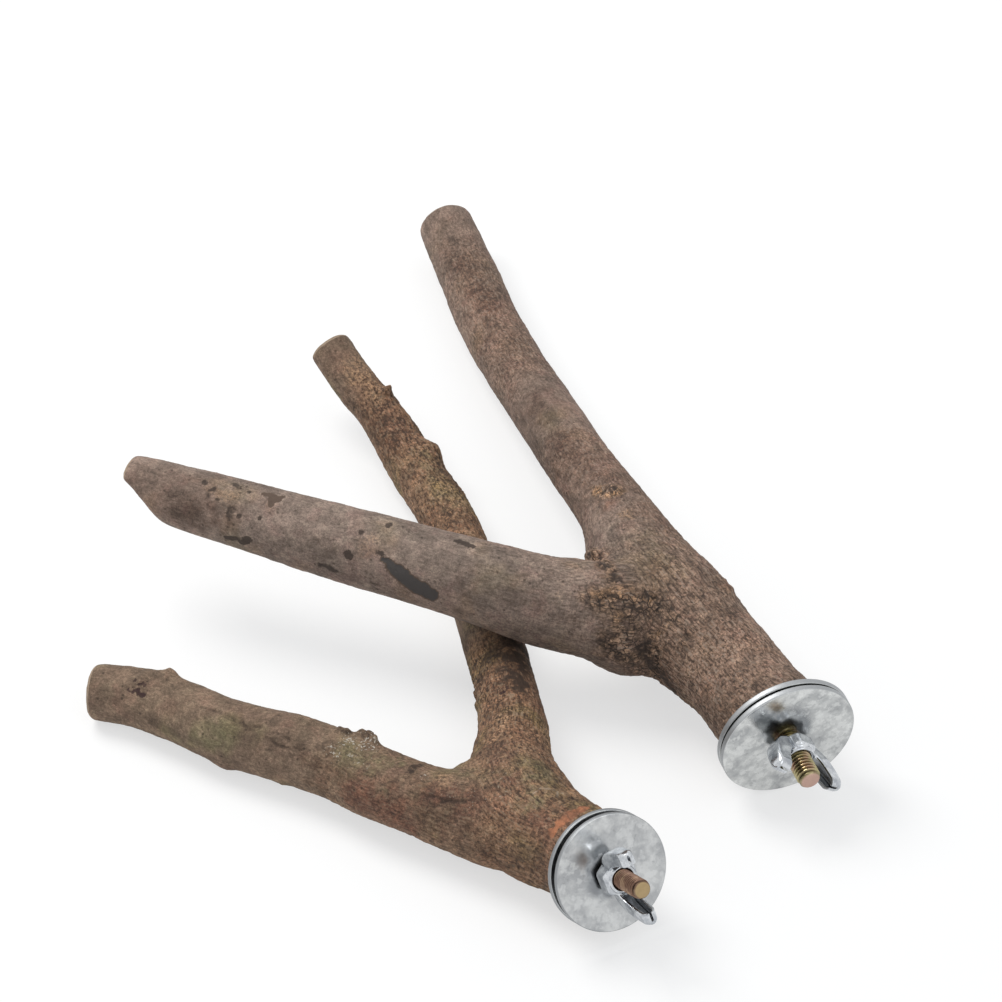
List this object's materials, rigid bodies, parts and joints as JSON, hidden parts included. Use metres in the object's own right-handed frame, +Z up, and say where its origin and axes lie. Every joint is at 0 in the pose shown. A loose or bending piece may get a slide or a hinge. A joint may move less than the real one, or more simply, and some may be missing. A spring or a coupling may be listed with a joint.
{
  "type": "bird perch",
  "caption": "Pair of forked natural-branch bird perches, one lying over the other, each with a hanger bolt, broad clamp washers and a stamped wing nut.",
  "frame": {"origin": "middle of the pair's outline in plan, on the plane that both perches lie on", "axes": "+Z up, +X to the right of the pictured view, +Y away from the washers"},
  "size_m": [0.1938, 0.2947, 0.0427],
  "materials": {
    "small_bark": "rough reddish-brown bark",
    "large_bark": "rough grey-brown bark",
    "bolt_steel": "yellow zinc plated",
    "washer_steel": "mottled bright zinc plated",
    "nut_steel": "bright zinc plated"
  },
  "bodies": {
    "small_perch": {"small_branch": "small_bark", "small_hanger_bolt": "bolt_steel"},
    "small_inner_washer": {"small_inner_washer": "washer_steel"},
    "small_outer_washer": {"small_outer_washer": "washer_steel"},
    "small_wing_nut": {"small_wing_nut": "nut_steel"},
    "large_perch": {"large_branch": "large_bark", "large_hanger_bolt": "bolt_steel"},
    "large_inner_washer": {"large_inner_washer": "washer_steel"},
    "large_outer_washer": {"large_outer_washer": "washer_steel"},
    "large_wing_nut": {"large_wing_nut": "nut_steel"}
  },
  "joints": [
    {"name": "large_perch_lift", "type": "slide", "parent": "small_perch", "child": "large_perch", "axis": [0, 0, 1], "range_m": [0, 0.12]},
    {"name": "small_inner_washer_spin", "type": "hinge", "parent": "small_perch", "child": "small_inner_washer", "pos_m": [0.0332, -0.128, 0.01761], "axis": [0.4406, -0.8082, 0.3907], "continuous": true},
    {"name": "small_outer_washer_travel", "type": "slide", "parent": "small_perch", "child": "small_outer_washer", "axis": [0.4406, -0.8082, 0.3907], "range_m": [-0.0019, 0.0075]},
    {"name": "small_wing_nut_turn", "type": "hinge", "parent": "small_outer_washer", "child": "small_wing_nut", "pos_m": [0.0332, -0.128, 0.01761], "axis": [0.4406, -0.8082, 0.3907], "range_deg": [-850, 3370]},
    {"name": "large_inner_washer_spin", "type": "hinge", "parent": "large_perch", "child": "large_inner_washer", "pos_m": [0.07894, -0.07744, 0.01807], "axis": [0.348, -0.9307, -0.1132], "continuous": true},
    {"name": "large_outer_washer_travel", "type": "slide", "parent": "large_perch", "child": "large_outer_washer", "axis": [0.348, -0.9307, -0.1132], "range_m": [-0.0005, 0.00526]},
    {"name": "large_wing_nut_turn", "type": "hinge", "parent": "large_outer_washer", "child": "large_wing_nut", "pos_m": [0.07894, -0.07744, 0.01807], "axis": [0.348, -0.9307, -0.1132], "range_deg": [-180, 1890]}
  ],
  "couplings": [
    {"joint": "small_outer_washer_travel", "follows": "small_wing_nut_turn", "m_per_rad": 0.00012732},
    {"joint": "large_outer_washer_travel", "follows": "large_wing_nut_turn", "m_per_rad": 0.00015915}
  ]
}
